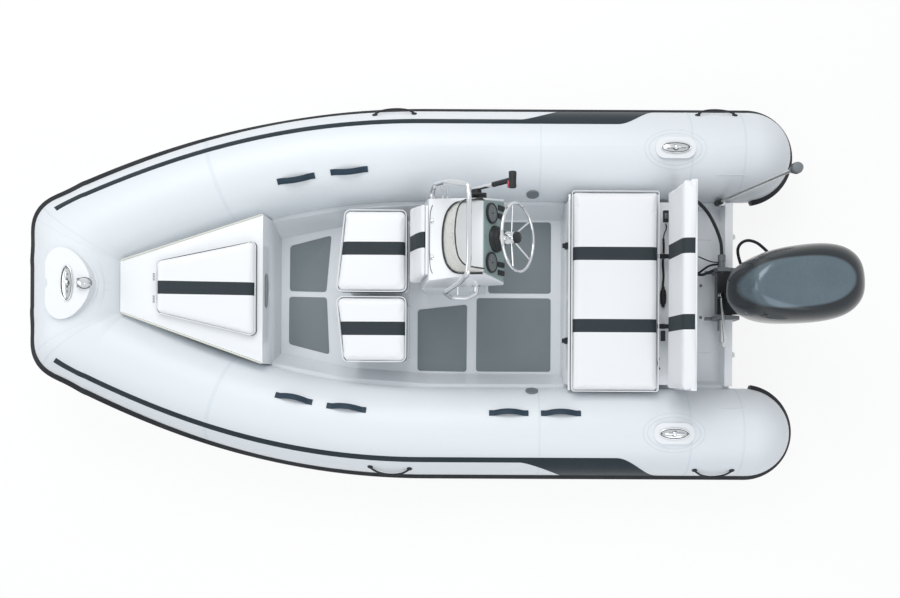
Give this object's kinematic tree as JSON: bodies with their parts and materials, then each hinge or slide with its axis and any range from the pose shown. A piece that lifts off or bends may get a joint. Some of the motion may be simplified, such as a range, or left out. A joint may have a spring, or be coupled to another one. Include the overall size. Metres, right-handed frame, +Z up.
{
  "type": "rigid inflatable boat",
  "caption": "Rigid-hulled inflatable boat with helm console, opening seats and lockers, and an outboard engine that steers and trims.",
  "frame": {"origin": "on the waterline and the centreline, amidships of the tubes", "axes": "+X forward to the bow, +Y to port, +Z up"},
  "size_m": [4.2303, 2.0854, 1.8477],
  "materials": {
    "gelcoat": "moulded glass-fibre with a gloss white gelcoat",
    "tube_fabric": "pale grey coated tube fabric, satin",
    "black_rubber": "black rubber, satin",
    "navy_rubber": "navy rubber, satin",
    "white_rubber": "white moulded rubber",
    "chrome": "polished chrome",
    "grey_plastic": "grey moulded plastic",
    "stainless": "polished stainless steel",
    "slate_pad": "slate grey non-skid pad",
    "dash_plastic": "grey-green dash plate",
    "clear_acrylic": "clear acrylic",
    "black_plastic": "black moulded plastic",
    "cushion_vinyl": "white coated cushion fabric with a navy stripe",
    "engine_grey": "grey painted aluminium casting",
    "engine_black": "black painted aluminium casting",
    "engine_cowl": "painted cowl, blue-grey above and black below",
    "cast_block": "plain block in place of the power head"
  },
  "bodies": {
    "boat": {"hull": "gelcoat", "deck_liner": "gelcoat", "cockpit_floor": "gelcoat", "tube_port": "tube_fabric", "tube_starboard": "tube_fabric", "tube_bow": "tube_fabric", "rub_strake": "black_rubber", "inner_handles": "navy_rubber", "outer_handles": "black_rubber", "bow_step_pad": "white_rubber", "cleats": "chrome", "cleat_pads": "white_rubber", "bow_light": "chrome", "inflation_valves": "grey_plastic", "tow_eyes": "stainless", "bow_locker": "gelcoat", "floor_pads": "slate_pad", "console_seat_box": "gelcoat", "port_seat_box": "gelcoat", "console": "gelcoat", "dash": "dash_plastic", "windscreen": "clear_acrylic", "console_rail": "stainless", "throttle_control": "black_plastic", "bench_box": "gelcoat", "bench_backrest": "cushion_vinyl", "stern_light": "stainless", "clamp_bracket": "engine_grey", "steering_cable": "black_rubber", "fuel_hose": "black_rubber", "engine_harness": "black_rubber"},
    "bow_lid": {"bow_locker_lid": "cushion_vinyl"},
    "console_seat": {"console_seat_lid": "cushion_vinyl"},
    "port_seat": {"port_seat_lid": "cushion_vinyl"},
    "bench_seat": {"bench_lid": "cushion_vinyl"},
    "hatch": {"console_hatch": "gelcoat", "console_backrest": "cushion_vinyl"},
    "wheel": {"steering_wheel": "stainless"},
    "swivel": {"swivel_bracket": "engine_black"},
    "engine": {"engine_leg": "engine_black", "engine_cowl": "engine_cowl", "power_head": "cast_block"},
    "prop": {"propeller": "engine_black"},
    "steering": {"steering_rod": "stainless", "drag_link": "stainless"}
  },
  "joints": [
    {"name": "bow_lid_hinge", "type": "hinge", "parent": "boat", "child": "bow_lid", "pos_m": [1.372, 0, 0.578], "axis": [0, 1, 0], "range_deg": [0, 80]},
    {"name": "console_seat_hinge", "type": "hinge", "parent": "boat", "child": "console_seat", "pos_m": [0.086, -0.21, 0.409], "axis": [0, -1, 0], "range_deg": [0, 60]},
    {"name": "port_seat_hinge", "type": "hinge", "parent": "boat", "child": "port_seat", "pos_m": [0.086, 0.208, 0.409], "axis": [0, -1, 0], "range_deg": [0, 85]},
    {"name": "bench_hinge", "type": "hinge", "parent": "boat", "child": "bench_seat", "pos_m": [-1.257, 0, 0.409], "axis": [0, -1, 0], "range_deg": [0, 58]},
    {"name": "console_hatch_hinge", "type": "hinge", "parent": "boat", "child": "hatch", "pos_m": [-0.05, -0.226, 0.75], "axis": [0, 1, 0], "range_deg": [-80, 0]},
    {"name": "wheel_spin", "type": "hinge", "parent": "boat", "child": "wheel", "pos_m": [-0.37699, -0.226, 0.7615], "axis": [0.8708, 0, -0.4916], "range_deg": [-700, 700]},
    {"name": "engine_trim", "type": "hinge", "parent": "boat", "child": "swivel", "pos_m": [-1.612, 0, 0.375], "axis": [0, 1, 0], "range_deg": [0, 20]},
    {"name": "engine_steer", "type": "hinge", "parent": "swivel", "child": "engine", "pos_m": [-1.765, 0, 0.2], "axis": [0, 0, 1], "range_deg": [-35, 25]},
    {"name": "propeller_spin", "type": "hinge", "parent": "engine", "child": "prop", "pos_m": [-2.07382, -0.02702, -0.405], "axis": [0.9962, 0.0872, 0], "continuous": true},
    {"name": "steering_slide", "type": "slide", "parent": "swivel", "child": "steering", "axis": [0, 1, 0], "range_m": [-0.12, 0.09]}
  ],
  "couplings": [
    {"joint": "wheel_spin", "follows": "engine_steer", "ratio": 20},
    {"joint": "steering_slide", "follows": "engine_steer", "m_per_rad": 0.174}
  ]
}
